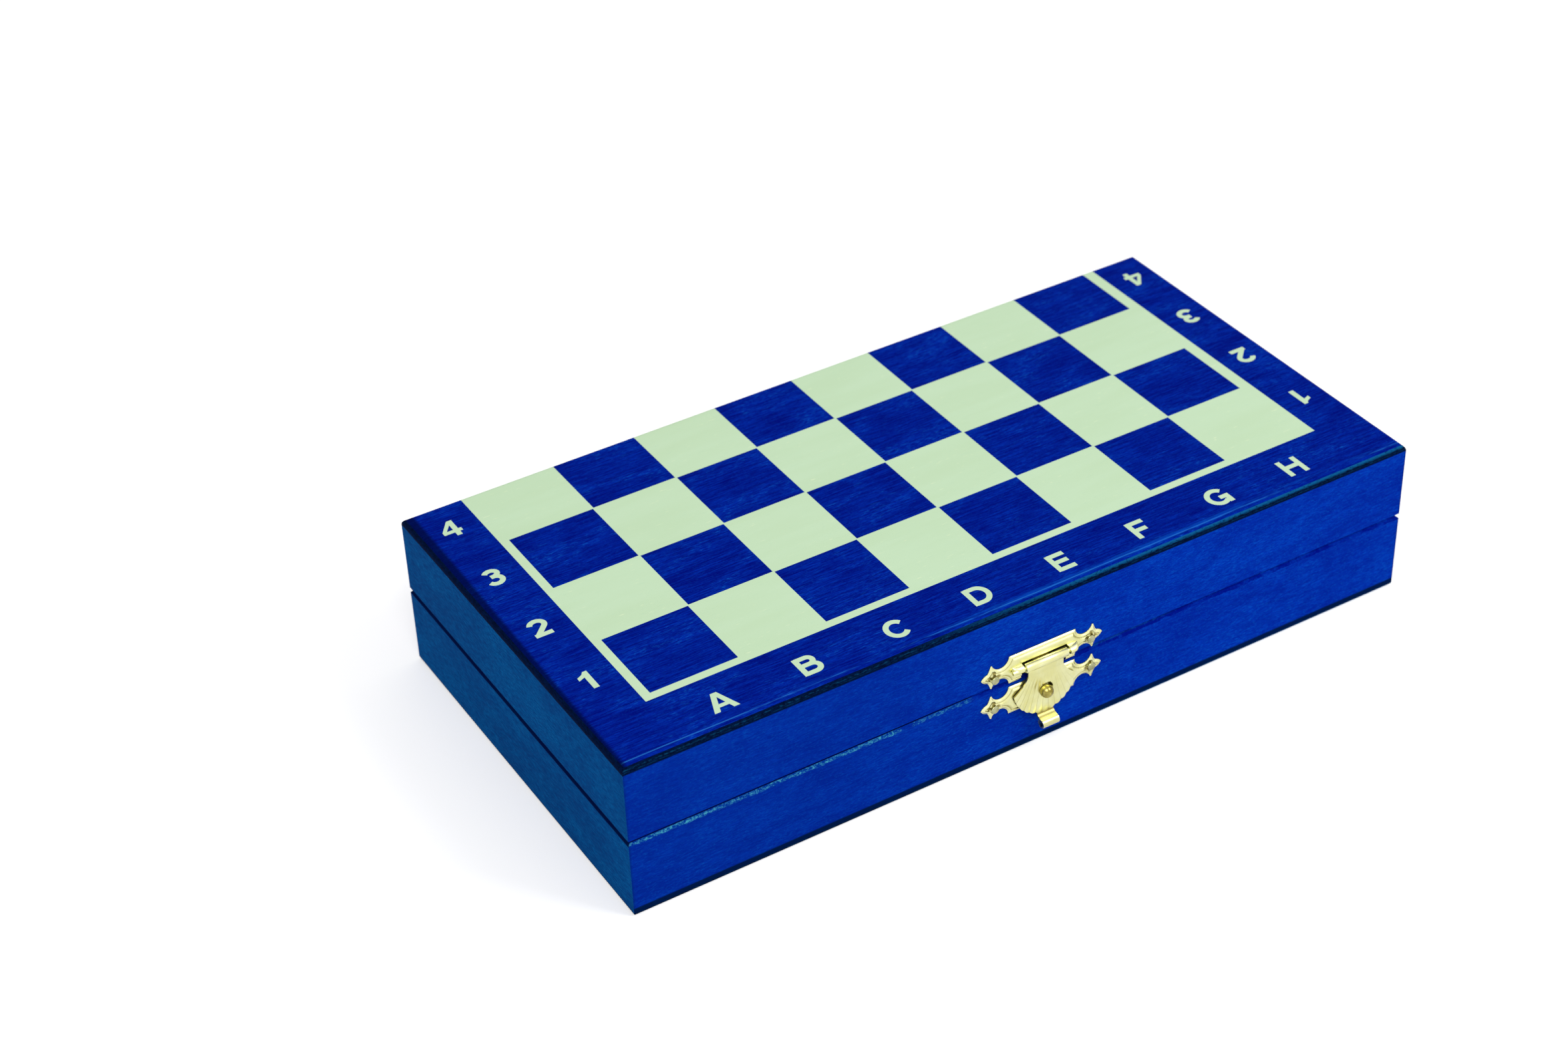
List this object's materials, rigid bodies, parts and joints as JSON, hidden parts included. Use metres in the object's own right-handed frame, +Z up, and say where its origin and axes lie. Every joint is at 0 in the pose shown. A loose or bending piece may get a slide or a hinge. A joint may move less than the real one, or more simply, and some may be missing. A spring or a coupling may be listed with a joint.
{
  "type": "magnetic chess set",
  "caption": "Folding wooden magnetic chess set: two hinged half cases whose outer faces form the board, a stamped brass shell clasp at the front and chessmen lying in foam inside.",
  "frame": {"origin": "middle of the closed case's underside, without the clasp", "axes": "+Z up, X along the case from the A file to the H file, -Y towards the clasp"},
  "size_m": [0.28, 0.1488, 0.0548],
  "materials": {
    "blue_case_wood": "stained and varnished, printed board on the outer faces",
    "natural_wood": "clear varnish",
    "blue_chess_wood": "stained and varnished",
    "foam": "matt foam",
    "sheet_steel": "plain",
    "magnet": "nickel plated",
    "hinge_steel": "plated",
    "clasp_brass": "bright plated",
    "nail_steel": "plated"
  },
  "bodies": {
    "base": {"base_panel": "blue_case_wood", "base_steel_sheet": "sheet_steel", "base_front_rail": "blue_case_wood", "base_back_rail": "blue_case_wood", "base_left_rail": "blue_case_wood", "base_right_rail": "blue_case_wood", "base_insert": "foam", "white_king": "natural_wood", "white_queen": "natural_wood", "white_bishops": "natural_wood", "white_knights": "natural_wood", "white_rooks": "natural_wood", "white_pawns": "natural_wood", "white_magnets": "magnet", "hinge_left_base_leaf": "hinge_steel", "hinge_right_base_leaf": "hinge_steel", "hinge_left_pin": "hinge_steel", "hinge_right_pin": "hinge_steel", "hinge_base_nails": "hinge_steel", "clasp_lower_plate": "clasp_brass", "clasp_knob": "clasp_brass", "clasp_lower_nails": "nail_steel"},
    "lid": {"lid_panel": "blue_case_wood", "lid_steel_sheet": "sheet_steel", "lid_front_rail": "blue_case_wood", "lid_back_rail": "blue_case_wood", "lid_left_rail": "blue_case_wood", "lid_right_rail": "blue_case_wood", "lid_insert": "foam", "blue_king": "blue_chess_wood", "blue_queen": "blue_chess_wood", "blue_bishops": "blue_chess_wood", "blue_knights": "blue_chess_wood", "blue_rooks": "blue_chess_wood", "blue_pawns": "blue_chess_wood", "blue_magnets": "magnet", "hinge_left_lid_leaf": "hinge_steel", "hinge_right_lid_leaf": "hinge_steel", "hinge_lid_nails": "hinge_steel", "clasp_upper_plate": "clasp_brass", "clasp_pin": "clasp_brass", "clasp_upper_nails": "nail_steel"},
    "hasp": {"clasp_hasp": "clasp_brass"}
  },
  "joints": [
    {"name": "lid_hinge", "type": "hinge", "parent": "base", "child": "lid", "pos_m": [0, 0.07065, 0.0274], "axis": [-1, 0, 0], "range_deg": [0, 180]},
    {"name": "hasp_hinge", "type": "hinge", "parent": "lid", "child": "hasp", "pos_m": [0.0006, -0.0725, 0.0319], "axis": [-1, 0, 0], "range_deg": [0, 150]}
  ]
}
